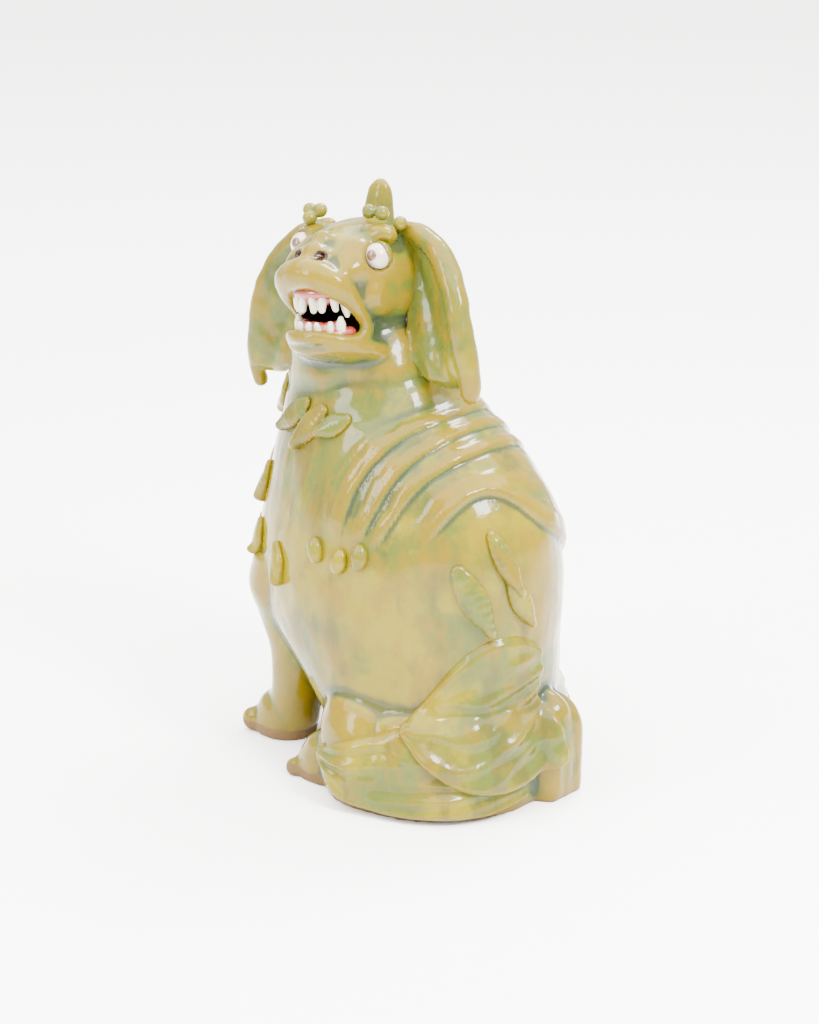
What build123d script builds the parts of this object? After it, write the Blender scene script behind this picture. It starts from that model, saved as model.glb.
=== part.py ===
from build123d import *
from math import cos, radians, sin
import os

# A seated foo dog in glazed stoneware, hand-built and hollow. The body faces -Y, the head is turned
# to the dog's own left and faces +X, and +Z is up. The base stands on Z = 0 and the body's mirror
# plane is X = 0. Millimetres throughout.

os.makedirs("parts", exist_ok=True)

# ---- Driving dimensions ----

WALL = 9.0                      # thickness of the hollow clay body
SHOULDER_HEIGHT = 236.0         # seam between the torso and the neck

# Level ovals of the torso and neck: height, front Y, back Y, half width.
BODY_OVALS = [
    (0, -27, 103, 70),
    (30, -45, 107, 75),
    (62, -69, 109, 79),
    (92, -97, 111, 82),
    (125, -109, 113, 83),
    (155, -111, 112.5, 80),
    (182, -107, 107, 74),
    (207, -102, 91, 67),
    (232, -96, 64, 58),
    (255, -91, 33, 50),
    (278, -87, 21, 47),
    (292, -80, 13, 43),
    (303, -66, -1, 33),
    (310, -50, -17, 18),
]

HEAD_CENTRE = (4.0, -33.0, 326.0)
HEAD_PITCH = 25.0               # the muzzle points this far above level
HEAD_ROLL = 7.0                 # the dog's left ear is the higher one

# Cross ovals of the skull: distance forward, underside, top, half width.
SKULL_OVALS = [
    (-50, -14, 8, 12),
    (-44, -30, 22, 27),
    (-34, -41, 31, 36),
    (-15, -46, 36, 41),
    (8, -46, 34, 42),
    (26, -38, 27, 38),
    (40, -30, 15, 32),
    (50, -27, 3, 26),
]

EYE_RADIUS = 8.3
EYE_FORWARD = 28.5
EYE_SIDE = 32.0
EYE_HEIGHTS = {"left": 3.0, "right": 9.0}

MANE_THICKNESS = 5.0
MANE_PIVOT = (14.0, 150.0)      # Y and Z of the line that the mane's bands fan out from
MANE_BANDS = {"upper": (104, 73), "middle": (73, 51), "lower": (51, 28)}

FLAP_THICKNESS = 7.0
TAIL_BACK = 128.5
TAIL_HEIGHT = 70.0

# Level ovals of the left haunch and its skirt: height, centre X, centre Y, radius X, radius Y.
SKIRT_OVALS = [
    (0, 20, 40, 79, 83),
    (25, 20, 40, 78, 82),
    (50, 17, 41, 75, 78),
    (66, 12, 42, 70, 72),
]
KNEE_OVALS = [
    (0, 64, 34, 34, 40),
    (30, 65, 31, 33, 40),
    (55, 64, 26, 29, 34),
    (70, 64, 22, 19, 23),
]

SIDES = {"left": 1, "right": -1}
HAUNCH_GROW = {"left": 0.0, "right": -9.0}      # the right haunch was pressed slimmer than the left


# ---- Frames and shared forms ----

pitch = radians(HEAD_PITCH)
roll = radians(HEAD_ROLL)
forward_axis = Vector(cos(pitch), 0, sin(pitch))
level_up = Vector(-sin(pitch), 0, cos(pitch))
left_axis = Vector(0, 1, 0) * cos(roll) + level_up * sin(roll)

skull_up = forward_axis.cross(left_axis)


def tilted(origin, angle):
    """A frame in the head: X at an angle above the skull's forward axis, Y to the dog's left."""
    tilt = radians(angle)
    return Plane(
        origin=origin,
        x_dir=forward_axis * cos(tilt) + skull_up * sin(tilt),
        z_dir=skull_up * cos(tilt) - forward_axis * sin(tilt),
    )


# The skull's own frame: local X to the dog's left, local Y up through the crown, local Z forward.
SKULL = Plane(origin=HEAD_CENTRE, x_dir=left_axis, z_dir=forward_axis)
# The mouth's frame: local X forward and level, local Y to the dog's left, local Z up.
MOUTH = tilted(HEAD_CENTRE, -HEAD_PITCH)
# The ears' frame: local X to the dog's left, local Y up, local Z level and forward.
EARS = Plane(origin=HEAD_CENTRE, x_dir=left_axis, z_dir=MOUTH.x_dir)


def body_form(grow):
    """The torso and neck as one closed form, grown or shrunk all round."""
    with BuildPart() as form:
        for height, front, back, half_width in BODY_OVALS:
            with BuildSketch(Plane.XY.offset(height)):
                with Locations((0, (front + back) / 2)):
                    Ellipse(half_width + grow, (back - front) / 2 + grow)
        loft()
    return form.part


def oval_stack(ovals, grow=0.0, side=1):
    """A loft through level ovals, mirrored for the right side."""
    with BuildPart() as stack:
        for height, centre_x, centre_y, radius_x, radius_y in ovals:
            with BuildSketch(Plane.XY.offset(height)):
                with Locations((side * centre_x, centre_y)):
                    Ellipse(radius_x + grow, radius_y + grow)
        loft()
    return stack.part


def skull_form():
    """The whole head as one closed form, before its hollows are cut."""
    with BuildPart() as form:
        for forward, underside, top, half_width in SKULL_OVALS:
            with BuildSketch(SKULL.offset(forward)):
                with Locations((0, (underside + top) / 2)):
                    Ellipse(half_width, (top - underside) / 2)
        loft()
    return form.part


def lump(place, radius_x, radius_y, radius_z):
    """A hand-rolled lump of clay, an ellipsoid on the axes of its place."""
    with BuildPart() as pellet:
        Sphere(1)
        scale(by=(radius_x, radius_y, radius_z))
    return place.location * pellet.part


def aimed(origin, towards, across):
    """A place whose Z runs towards a direction and whose X lies across it."""
    return Plane(origin=origin, x_dir=across, z_dir=towards)


def skull_point(forward, left, up):
    return SKULL.from_local_coords((left, up, forward))


def mouth_point(forward, left, up):
    return MOUTH.from_local_coords((forward, left, up))


body_outside = body_form(0)
body_inside = body_form(-WALL)
skull_outside = skull_form()


# ---- Torso and neck: two thrown and coiled hollow forms, luted at the shoulder ----

with BuildPart() as torso_shell:
    add(body_outside)
    add(body_inside, mode=Mode.SUBTRACT)
    split(bisect_by=Plane.XY.offset(SHOULDER_HEIGHT), keep=Keep.BOTTOM)
torso_shell.part.label = "torso_shell"
export_step(torso_shell.part, "parts/torso_shell.step")

with BuildPart() as neck_shell:
    add(body_outside)
    add(body_inside, mode=Mode.SUBTRACT)
    split(bisect_by=Plane.XY.offset(SHOULDER_HEIGHT), keep=Keep.TOP)
    add(skull_outside, mode=Mode.SUBTRACT)
neck_shell.part.label = "neck_shell"
export_step(neck_shell.part, "parts/neck_shell.step")


# ---- Head: a hollow skull with an open mouth, vented into the neck ----

SKULL_HOLLOW = (-12.0, 0.0, 4.0)        # forward, left, up
SKULL_HOLLOW_RADII = (32.0, 24.0, 24.0)
VENT_RADIUS = 14.0
VENT_FORWARD = -16.0
MOUTH_HOLLOW = (32.0, 0.0, -23.0)
MOUTH_HOLLOW_RADII = (27.0, 22.0, 13.0)
GAPE_ROOT = -6.0                        # where the wedge of the open jaws begins
GAPE_LENGTH = 80.0
GAPE_DROP = 31.0

skull_hollow = lump(SKULL.offset(SKULL_HOLLOW[0]), *SKULL_HOLLOW_RADII)
mouth_hollow = lump(Plane(MOUTH.from_local_coords(MOUTH_HOLLOW), x_dir=MOUTH.x_dir, z_dir=MOUTH.z_dir),
                    *MOUTH_HOLLOW_RADII)
eyeballs = {}
for name, side in SIDES.items():
    eye_place = Plane(skull_point(EYE_FORWARD, side * EYE_SIDE, EYE_HEIGHTS[name]))
    eyeballs[name] = lump(eye_place, EYE_RADIUS, EYE_RADIUS, EYE_RADIUS)
vent_plane = Plane(skull_point(VENT_FORWARD, 0, 0), x_dir=left_axis, z_dir=SKULL.y_dir * -1)

with BuildPart() as head_shell:
    add(skull_outside)
    add(skull_hollow, mode=Mode.SUBTRACT)
    add(mouth_hollow, mode=Mode.SUBTRACT)
    for eyeball in eyeballs.values():
        add(eyeball, mode=Mode.SUBTRACT)
    with BuildSketch(vent_plane):
        Circle(VENT_RADIUS)
    extrude(amount=70, mode=Mode.SUBTRACT)
head_shell.part.label = "head_shell"
export_step(head_shell.part, "parts/head_shell.step")


# ---- Jaw, lips and gums ----

# Cross ovals of the lower jaw in the mouth's frame: forward, underside, top, half width.
JAW_OVALS = [
    (6, -58, -30, 38),
    (32, -58, -31, 36),
    (46, -54, -32, 31),
    (57, -46, -33, 25),
    (62, -42, -34, 17),
]
LIP_SPREAD = 24.0
UPPER_LIP_RADIUS = 8.0
LOWER_LIP_RADIUS = 5.0
GUM_RADIUS = 3.5
ARCH_RADIUS = 19.5                      # radius of the arch on which the teeth stand
UPPER_ARCH = (40.0, -4.0)               # forward and up, the centre of the arch
LOWER_ARCH = (42.0, -28.5)

LIP_SLOPE = 25.0                        # how much steeper the upper lip lies than the skull

UPPER_LIP = tilted(skull_point(17, 0, -40), LIP_SLOPE)
LOWER_LIP = Plane(origin=mouth_point(32, 0, -32), x_dir=MOUTH.x_dir, z_dir=MOUTH.z_dir)


def lip_roll(plane, leg, spread, radius):
    """A roll of clay laid round the mouth: two straight legs joined by a half circle."""
    with BuildPart() as roll_of_clay:
        with BuildLine(plane) as path:
            near = Line((0, spread), (leg, spread))
            bend = ThreePointArc((leg, spread), (leg + spread, 0), (leg, -spread))
            Line(bend @ 1, (0, -spread))
        with BuildSketch(Plane(origin=path.line @ 0, z_dir=path.line % 0)):
            Circle(radius)
        sweep()
    return roll_of_clay.part


def gum_arch(centre, half_angle):
    """A rope of clay along the arch that the teeth stand on."""
    plane = Plane(mouth_point(centre[0], 0, centre[1]), x_dir=MOUTH.x_dir, z_dir=MOUTH.z_dir)
    with BuildPart() as rope:
        with BuildLine(plane) as path:
            CenterArc((0, 0), ARCH_RADIUS, -half_angle, 2 * half_angle)
        with BuildSketch(Plane(origin=path.line @ 0, z_dir=path.line % 0)):
            Circle(GUM_RADIUS)
        sweep()
    return rope.part


def arch_teeth(centre, angles, width, height):
    """Rounded teeth stood upright at the given angles round an arch."""
    teeth = []
    for angle in angles:
        turn = radians(angle)
        spot = mouth_point(centre[0] + ARCH_RADIUS * cos(turn), ARCH_RADIUS * sin(turn), centre[1])
        place = Plane(spot, x_dir=MOUTH.x_dir, z_dir=MOUTH.z_dir).rotated((0, 0, angle))
        teeth.append(lump(place, width * 0.85, width, height))
    return teeth


upper_lip_roll = lip_roll(UPPER_LIP, 22, LIP_SPREAD, UPPER_LIP_RADIUS)
lower_lip_roll = lip_roll(LOWER_LIP, 7, LIP_SPREAD, LOWER_LIP_RADIUS)
upper_tooth_row = arch_teeth((UPPER_ARCH[0], UPPER_ARCH[1] - 6), (-50, -30, -10, 10, 30, 50), 3.1, 6.0)
upper_canine_pair = arch_teeth((UPPER_ARCH[0], UPPER_ARCH[1] - 8), (-66, 66), 3.4, 8.5)
lower_tooth_row = arch_teeth((LOWER_ARCH[0], LOWER_ARCH[1] + 5), (-39, -13, 13, 39), 3.1, 5.5)
lower_canine_pair = arch_teeth((LOWER_ARCH[0], LOWER_ARCH[1] + 6), (-62, 62), 3.4, 7.5)

with BuildPart() as lower_jaw:
    for forward, underside, top, half_width in JAW_OVALS:
        with BuildSketch(Plane(mouth_point(forward, 0, 0), x_dir=MOUTH.y_dir, z_dir=MOUTH.x_dir)):
            with Locations((0, (underside + top) / 2)):
                Ellipse(half_width, (top - underside) / 2)
    loft()
    add(skull_outside, mode=Mode.SUBTRACT)
    add(body_outside, mode=Mode.SUBTRACT)
    add(mouth_hollow, mode=Mode.SUBTRACT)
lower_jaw.part.label = "lower_jaw"
export_step(lower_jaw.part, "parts/lower_jaw.step")

with BuildPart() as lower_lip:
    add(lower_lip_roll)
    add(skull_outside, mode=Mode.SUBTRACT)
    add(lower_jaw.part, mode=Mode.SUBTRACT)
    add(body_outside, mode=Mode.SUBTRACT)
lower_lip.part.label = "lower_lip"
export_step(lower_lip.part, "parts/lower_lip.step")

with BuildPart() as upper_lip:
    add(upper_lip_roll)
    add(skull_outside, mode=Mode.SUBTRACT)
    add(lower_lip_roll, mode=Mode.SUBTRACT)
    add(lower_jaw.part, mode=Mode.SUBTRACT)
    add(body_outside, mode=Mode.SUBTRACT)
upper_lip.part.label = "upper_lip"
export_step(upper_lip.part, "parts/upper_lip.step")

with BuildPart() as upper_gum:
    add(gum_arch(UPPER_ARCH, 84))
    add(skull_outside, mode=Mode.SUBTRACT)
    add(upper_lip_roll, mode=Mode.SUBTRACT)
upper_gum.part.label = "upper_gum"
export_step(upper_gum.part, "parts/upper_gum.step")

with BuildPart() as lower_gum:
    add(gum_arch(LOWER_ARCH, 78))
    add(skull_outside, mode=Mode.SUBTRACT)
    add(lower_lip_roll, mode=Mode.SUBTRACT)
    add(upper_lip_roll, mode=Mode.SUBTRACT)
    add(lower_jaw.part, mode=Mode.SUBTRACT)
lower_gum.part.label = "lower_gum"
export_step(lower_gum.part, "parts/lower_gum.step")


# ---- Teeth: white pellets pressed into the gums ----

tooth_sets = {
    "upper_incisors": upper_tooth_row,
    "upper_canines": upper_canine_pair,
    "lower_incisors": lower_tooth_row,
    "lower_canines": lower_canine_pair,
}
finished_teeth = []
for name, teeth in tooth_sets.items():
    with BuildPart() as tooth_set:
        for tooth in teeth:
            add(tooth)
        for neighbour in (upper_gum, lower_gum, upper_lip, lower_lip, lower_jaw, head_shell):
            add(neighbour.part, mode=Mode.SUBTRACT)
        for neighbour in finished_teeth:
            add(neighbour, mode=Mode.SUBTRACT)
    finished_teeth.append(tooth_set.part)
    tooth_set.part.label = name
    export_step(tooth_set.part, f"parts/{name}.step")


# ---- Nose, eyes, brows and horn ----

NOSE_CENTRE = (46.0, 0.0, -3.0)
NOSE_RADII = (15.0, 9.0, 11.0)
NOSTRIL_SIDE = 9.5
NOSTRIL_RADIUS = 2.4
NOSTRIL_DEPTH = 9.0
IRIS_RADIUS = 3.2
IRIS_RISE = 0.5
LID_RADIUS = 10.4
LID_DEPTH = 4.0                 # how far the lid's centre lies behind the eyeball's
LID_SPLAY = 52.0                # the eyes look this far out from straight ahead
BROW_RADII = (14.0, 9.5, 9.0)
CURL_RADIUS = 4.3
# Centres of the pellets on each brow: forward, outward, up.
BROW_CURLS = {
    "left": [(30, 19, 32), (28, 28, 31), (18, 35, 29)],
    "right": [(30, 22, 32), (30, 31, 32), (33, 27, 26)],
}
HORN_OVALS = [
    (0, 0, 11, 10.5),
    (12, 1.5, 10.5, 9.5),
    (21, 3, 8.5, 7.5),
    (27, 4, 4, 3.5),
]

with BuildPart() as nose:
    add(lump(SKULL.offset(NOSE_CENTRE[0]), *NOSE_RADII))
    add(skull_outside, mode=Mode.SUBTRACT)
    add(upper_lip_roll, mode=Mode.SUBTRACT)
    with BuildSketch(SKULL.offset(NOSE_CENTRE[0] + NOSE_RADII[2])):
        with Locations((NOSTRIL_SIDE, -4), (-NOSTRIL_SIDE, -4)):
            Circle(NOSTRIL_RADIUS)
    extrude(amount=-NOSTRIL_DEPTH, mode=Mode.SUBTRACT)
nose.part.label = "nose"
export_step(nose.part, "parts/nose.step")

with BuildPart() as horn:
    for height, forward, half_width, half_depth in HORN_OVALS:
        base = Plane(mouth_point(-10 + forward, 0, 30 + height), x_dir=MOUTH.x_dir, z_dir=MOUTH.z_dir)
        with BuildSketch(base):
            Ellipse(half_depth, half_width)
    loft()
    add(skull_outside, mode=Mode.SUBTRACT)
horn.part.label = "horn"
export_step(horn.part, "parts/horn.step")

for name, side in SIDES.items():
    eye_up = EYE_HEIGHTS[name]
    eye_centre = skull_point(EYE_FORWARD, side * EYE_SIDE, eye_up)
    splay = radians(LID_SPLAY)
    outward = forward_axis * cos(splay) + left_axis * (side * sin(splay))
    brow_place = Plane(skull_point(27, side * 26, 18), x_dir=left_axis, z_dir=forward_axis)
    brow_lump = lump(brow_place, *BROW_RADII)
    lid_lump = lump(Plane(eye_centre - outward * LID_DEPTH), LID_RADIUS, LID_RADIUS, LID_RADIUS)
    curl_lumps = [
        lump(Plane(skull_point(forward, side * outside, up)), CURL_RADIUS, CURL_RADIUS, CURL_RADIUS)
        for forward, outside, up in BROW_CURLS[name]
    ]

    with BuildPart() as iris:
        with BuildSketch(Plane(origin=eye_centre, z_dir=forward_axis)):
            Circle(IRIS_RADIUS)
        extrude(amount=EYE_RADIUS + IRIS_RISE)
        add(eyeballs[name], mode=Mode.SUBTRACT)
    iris.part.label = f"{name}_iris"
    export_step(iris.part, f"parts/{name}_iris.step")

    with BuildPart() as eyeball:
        add(eyeballs[name])
    eyeball.part.label = f"{name}_eyeball"
    export_step(eyeball.part, f"parts/{name}_eyeball.step")

    with BuildPart() as eyelid:
        add(lid_lump)
        add(eyeballs[name], mode=Mode.SUBTRACT)
        add(skull_outside, mode=Mode.SUBTRACT)
        add(iris.part, mode=Mode.SUBTRACT)
    eyelid.part.label = f"{name}_eyelid"
    export_step(eyelid.part, f"parts/{name}_eyelid.step")

    with BuildPart() as brow:
        add(brow_lump)
        for neighbour in (skull_outside, eyeballs[name], eyelid.part, horn.part):
            add(neighbour, mode=Mode.SUBTRACT)
    brow.part.label = f"{name}_brow"
    export_step(brow.part, f"parts/{name}_brow.step")

    with BuildPart() as brow_curls:
        for curl in curl_lumps:
            add(curl)
        for neighbour in (skull_outside, brow.part, horn.part):
            add(neighbour, mode=Mode.SUBTRACT)
    brow_curls.part.label = f"{name}_brow_curls"
    export_step(brow_curls.part, f"parts/{name}_brow_curls.step")


# ---- Ears: slabs that stand out from the cheeks and hang, with a thick rolled outer edge ----

EAR_THICKNESS = 8.0
EAR_ROLL_RADIUS = 6.5
# Outline of an ear, from its root at the crown round to its root at the jaw: outward, up.
EAR_OUTLINE = [
    (36, 26), (58, 22), (77, 6), (91, -14), (95, -41), (92, -61),
    (82, -70), (72, -66), (54, -66), (38, -56), (33, -44),
]
EAR_ROLL_PATH = [(60, 16), (79, 0), (90, -20), (94, -44), (87, -68)]

for name, side in SIDES.items():
    with BuildPart() as ear_roll:
        with BuildLine(EARS) as path:
            Spline(*[(side * outward, up) for outward, up in EAR_ROLL_PATH])
        with BuildSketch(Plane(origin=path.line @ 0, z_dir=path.line % 0)):
            Circle(EAR_ROLL_RADIUS)
        sweep()

    with BuildPart() as ear:
        with BuildSketch(EARS.offset(-EAR_THICKNESS / 2)):
            with BuildLine():
                edge = Spline(*[(side * outward, up) for outward, up in EAR_OUTLINE])
                Line(edge @ 1, edge @ 0)
            make_face()
        extrude(amount=EAR_THICKNESS)
        add(ear_roll.part)
        for neighbour in (skull_outside, body_outside, lower_jaw.part):
            add(neighbour, mode=Mode.SUBTRACT)
    ear.part.label = f"{name}_ear"
    export_step(ear.part, f"parts/{name}_ear.step")


# ---- Mane: three broad bands over the back, ending in curled pellets low on each side ----

MANE_INNER_REACH = 26.0
MANE_OUTER_REACH = 108.0
MANE_CURLS = [(78, -8, 161), (80, 13, 159), (78, 29, 165)]

mane_outside = body_form(MANE_THICKNESS)


def mane_ray(angle, reach):
    """A point in the YZ plane at an angle and a distance from the mane's pivot line."""
    turn = radians(angle)
    return (MANE_PIVOT[0] + reach * cos(turn), MANE_PIVOT[1] + reach * sin(turn))


mane_parts = []
for name, (front_angle, back_angle) in MANE_BANDS.items():
    middle_angle = (front_angle + back_angle) / 2
    with BuildPart() as sector:
        with BuildSketch(Plane.YZ):
            with BuildLine():
                Line(mane_ray(front_angle, MANE_INNER_REACH), mane_ray(front_angle, MANE_OUTER_REACH))
                ThreePointArc(
                    mane_ray(front_angle, MANE_OUTER_REACH),
                    mane_ray(middle_angle, MANE_OUTER_REACH),
                    mane_ray(back_angle, MANE_OUTER_REACH),
                )
                Line(mane_ray(back_angle, MANE_OUTER_REACH), mane_ray(back_angle, MANE_INNER_REACH))
                ThreePointArc(
                    mane_ray(back_angle, MANE_INNER_REACH),
                    mane_ray(middle_angle, MANE_INNER_REACH),
                    mane_ray(front_angle, MANE_INNER_REACH),
                )
            make_face()
        extrude(amount=100, both=True)
    with BuildPart() as mane_band:
        add(mane_outside)
        add(body_outside, mode=Mode.SUBTRACT)
        add(sector.part, mode=Mode.INTERSECT)
        add(skull_outside, mode=Mode.SUBTRACT)
    mane_parts.append(mane_band.part)
    mane_band.part.label = f"mane_band_{name}"
    export_step(mane_band.part, f"parts/mane_band_{name}.step")

for name, side in SIDES.items():
    curl_lumps = [
        lump(Plane((side * x, y, z), x_dir=(0, 1, 0), z_dir=(side, 0, 0)), 6.5, 9.0, 5.5)
        for x, y, z in MANE_CURLS
    ]
    with BuildPart() as mane_curls:
        for curl in curl_lumps:
            add(curl)
        add(body_outside, mode=Mode.SUBTRACT)
        for band in mane_parts:
            add(band, mode=Mode.SUBTRACT)
    mane_curls.part.label = f"{name}_mane_curls"
    export_step(mane_curls.part, f"parts/{name}_mane_curls.step")


# ---- Forelegs and forepaws ----

FOREPAW_OVALS = [
    (0, 33, -83, 21.5, 24),
    (18, 33, -82, 20, 22),
    (29, 33, -79, 15, 17),
    (33, 33, -77, 8, 9),
]
FORELEG_OVALS = [
    (18, 33, -73, 16, 16),
    (40, 33, -69, 19, 19),
    (62, 33, -70, 20, 20),
    (85, 34, -72, 23, 24),
    (112, 37, -71, 29, 31),
    (136, 38, -70, 26, 28),
]

foreleg_parts = []
for name, side in SIDES.items():
    paw_form = oval_stack(FOREPAW_OVALS, side=side)
    leg_form = oval_stack(FORELEG_OVALS, side=side)

    with BuildPart() as forepaw:
        add(paw_form)
        add(body_outside, mode=Mode.SUBTRACT)
    forepaw.part.label = f"{name}_forepaw"
    export_step(forepaw.part, f"parts/{name}_forepaw.step")

    with BuildPart() as foreleg:
        add(leg_form)
        add(body_outside, mode=Mode.SUBTRACT)
        add(paw_form, mode=Mode.SUBTRACT)
    foreleg_parts.append(foreleg.part)
    foreleg.part.label = f"{name}_foreleg"
    export_step(foreleg.part, f"parts/{name}_foreleg.step")


# ---- Tufts: leaf-shaped pats of clay on the throat, the chest and the rump ----

# Each tuft: root point, tip point, half width.
COLLAR_TUFTS = [
    ((56, -44, 248), (48, -64, 226), 7.0),
    ((60, -26, 246), (58, -42, 220), 7.0),
    ((58, -4, 246), (59, -22, 231), 6.0),
    ((24, -92, 250), (18, -99, 226), 7.0),
]
CHEST_TUFTS = [
    ((50, -92, 196), (48, -92, 172), 6.0),
    ((74, -52, 152), (76, -44, 131), 7.0),
    ((58, -85, 158), (56, -83, 134), 6.5),
    ((17, -110, 204), (17, -114, 182), 7.0),
    ((18, -114, 172), (18, -116, 150), 7.0),
    ((36, -106, 152), (36, -105, 130), 7.0),
]
RUMP_TUFTS = [
    ((50, 88, 160), (39, 103, 124), 8.0),
    ((31, 99, 181), (21, 110, 148), 6.0),
    ((24, 109, 150), (12, 113, 125), 6.0),
]
TUFT_DEPTH = 4.5


def tuft(root, tip, half_width, side, body_centre_y):
    """A pat of clay laid flat on the body from its root down to its tip."""
    start = Vector(side * root[0], root[1], root[2])
    end = Vector(side * tip[0], tip[1], tip[2])
    middle = (start + end) * 0.5
    away = Vector(middle.X, middle.Y - body_centre_y, 0)
    length = (end - start).length
    return lump(aimed(middle, away, start - end), length / 2, half_width, TUFT_DEPTH)


tuft_sets = {
    "collar_tufts": (COLLAR_TUFTS, -20),
    "chest_tufts": (CHEST_TUFTS, 0),
    "rump_tufts": (RUMP_TUFTS, 10),
}
for name, (tufts, centre_y) in tuft_sets.items():
    pats = [tuft(*spec, side, centre_y) for side in SIDES.values() for spec in tufts]
    with BuildPart() as tuft_set:
        for pat in pats:
            add(pat)
        for neighbour in (body_outside, skull_outside, lower_jaw.part, *mane_parts, *foreleg_parts):
            add(neighbour, mode=Mode.SUBTRACT)
    tuft_set.part.label = name
    export_step(tuft_set.part, f"parts/{name}.step")


# ---- Haunches, hind paws and the folded flaps over the rump ----

rump_parts = []

HIND_PAW_OVALS = [
    (0, 72, -9, 15, 21),
    (20, 72, -7, 15, 20),
    (32, 72, -3, 11, 14),
    (37, 72, 0, 5, 7),
]
LOWER_FLAP_FRONT = 8.0          # the lower flap starts this far back along Y
MIDLINE_GAP = 1.0
UPPER_FLAP_TURN = 60.0          # degrees from +X to the way that the upper flap faces
# Outline of the left upper flap on a plane that faces it: across, up.
UPPER_FLAP_OUTLINE = [(14, 112), (-21, 62), (4, 26), (31, 14), (62, 44), (52, 96)]

for name, side in SIDES.items():
    grow = HAUNCH_GROW[name]
    skirt_outside = oval_stack(SKIRT_OVALS, grow, side)
    skirt_inside = oval_stack(SKIRT_OVALS, grow - FLAP_THICKNESS, side)
    skirt_over = oval_stack(SKIRT_OVALS, grow + FLAP_THICKNESS, side)
    rump_over = body_form(FLAP_THICKNESS + 1)
    knee_form = oval_stack(KNEE_OVALS, 0, side)
    paw_form = oval_stack(HIND_PAW_OVALS, 0, side)

    with BuildPart() as own_half:
        with BuildSketch(Plane.XY):
            with Locations((side * (MIDLINE_GAP + 75), 50)):
                Rectangle(150, 200)
        extrude(amount=130)

    with BuildPart() as haunch:
        add(skirt_inside)
        add(knee_form)
        add(own_half.part, mode=Mode.INTERSECT)
        add(body_outside, mode=Mode.SUBTRACT)
    haunch.part.label = f"{name}_haunch"
    export_step(haunch.part, f"parts/{name}_haunch.step")

    with BuildPart() as hind_paw:
        add(paw_form)
        add(body_outside, mode=Mode.SUBTRACT)
        add(haunch.part, mode=Mode.SUBTRACT)
    hind_paw.part.label = f"{name}_hind_paw"
    export_step(hind_paw.part, f"parts/{name}_hind_paw.step")

    with BuildPart() as flap_zone:
        with BuildSketch(Plane.XY):
            with Locations((side * (MIDLINE_GAP + 75), LOWER_FLAP_FRONT + 75)):
                Rectangle(150, 150)
        extrude(amount=130)
    with BuildPart() as lower_flap:
        add(skirt_outside)
        add(skirt_inside, mode=Mode.SUBTRACT)
        add(flap_zone.part, mode=Mode.INTERSECT)
        add(body_outside, mode=Mode.SUBTRACT)
        add(haunch.part, mode=Mode.SUBTRACT)
    lower_flap.part.label = f"{name}_lower_flap"
    export_step(lower_flap.part, f"parts/{name}_lower_flap.step")

    turn = radians(UPPER_FLAP_TURN)
    flap_plane = Plane(origin=(0, 0, 0), x_dir=(-sin(turn), side * cos(turn), 0),
                       z_dir=(side * cos(turn), sin(turn), 0))
    with BuildPart() as leaf_zone:
        with BuildSketch(flap_plane.offset(20)):
            with BuildLine():
                Spline(*[(side * across, up) for across, up in UPPER_FLAP_OUTLINE], periodic=True)
            make_face()
        extrude(amount=150)
    with BuildPart() as upper_flap:
        add(rump_over)
        add(skirt_over)
        add(leaf_zone.part, mode=Mode.INTERSECT)
        add(own_half.part, mode=Mode.INTERSECT)
        for neighbour in (body_outside, skirt_outside, haunch.part, lower_flap.part):
            add(neighbour, mode=Mode.SUBTRACT)
    rump_parts += [haunch.part, lower_flap.part, upper_flap.part]
    upper_flap.part.label = f"{name}_upper_flap"
    export_step(upper_flap.part, f"parts/{name}_upper_flap.step")


# ---- Tail: a flat slab standing upright against the rump, round at the top ----

TAIL_CENTRE_X = -8.0
TAIL_WIDTH = 38.0
TAIL_FRONT = 92.0

with BuildPart() as tail:
    with BuildSketch(Plane.XZ.offset(-TAIL_FRONT)):
        with Locations((TAIL_CENTRE_X, TAIL_HEIGHT / 2)):
            Rectangle(TAIL_WIDTH, TAIL_HEIGHT)
    extrude(amount=-(TAIL_BACK - TAIL_FRONT))
    fillet(tail.edges().filter_by(Axis.Y).group_by(Axis.Z)[-1], radius=TAIL_WIDTH * 0.45)
    fillet(tail.faces().sort_by(Axis.Y)[-1].edges().filter_by(lambda edge: edge.center().Z > 1), radius=6)
    add(body_outside, mode=Mode.SUBTRACT)
    for neighbour in rump_parts:
        add(neighbour, mode=Mode.SUBTRACT)
tail.part.label = "tail"
export_step(tail.part, "parts/tail.step")
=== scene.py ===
from math import cos, pi, radians, sin

import bmesh
import bpy
import numpy as np
from mathutils import Matrix, Vector, noise
from mathutils.bvhtree import BVHTree


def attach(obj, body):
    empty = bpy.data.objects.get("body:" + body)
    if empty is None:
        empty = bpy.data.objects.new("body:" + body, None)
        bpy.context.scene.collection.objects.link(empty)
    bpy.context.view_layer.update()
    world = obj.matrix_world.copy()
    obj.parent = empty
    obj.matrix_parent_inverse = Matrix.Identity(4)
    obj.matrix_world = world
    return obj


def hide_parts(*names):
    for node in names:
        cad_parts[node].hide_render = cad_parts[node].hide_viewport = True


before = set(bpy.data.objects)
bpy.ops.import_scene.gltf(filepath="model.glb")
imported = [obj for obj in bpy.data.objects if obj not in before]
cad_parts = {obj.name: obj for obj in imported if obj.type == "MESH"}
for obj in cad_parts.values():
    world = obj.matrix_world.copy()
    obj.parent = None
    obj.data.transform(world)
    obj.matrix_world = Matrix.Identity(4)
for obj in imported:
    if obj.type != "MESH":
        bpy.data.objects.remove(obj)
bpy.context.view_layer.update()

# A seated foo dog of glazed stoneware. Pieces are modelled in millimetres in the frame of the CAD
# model and made metres as each mesh is finished: -Y is the body's front, +X its left, +Z up.
MM = 0.001


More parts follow.
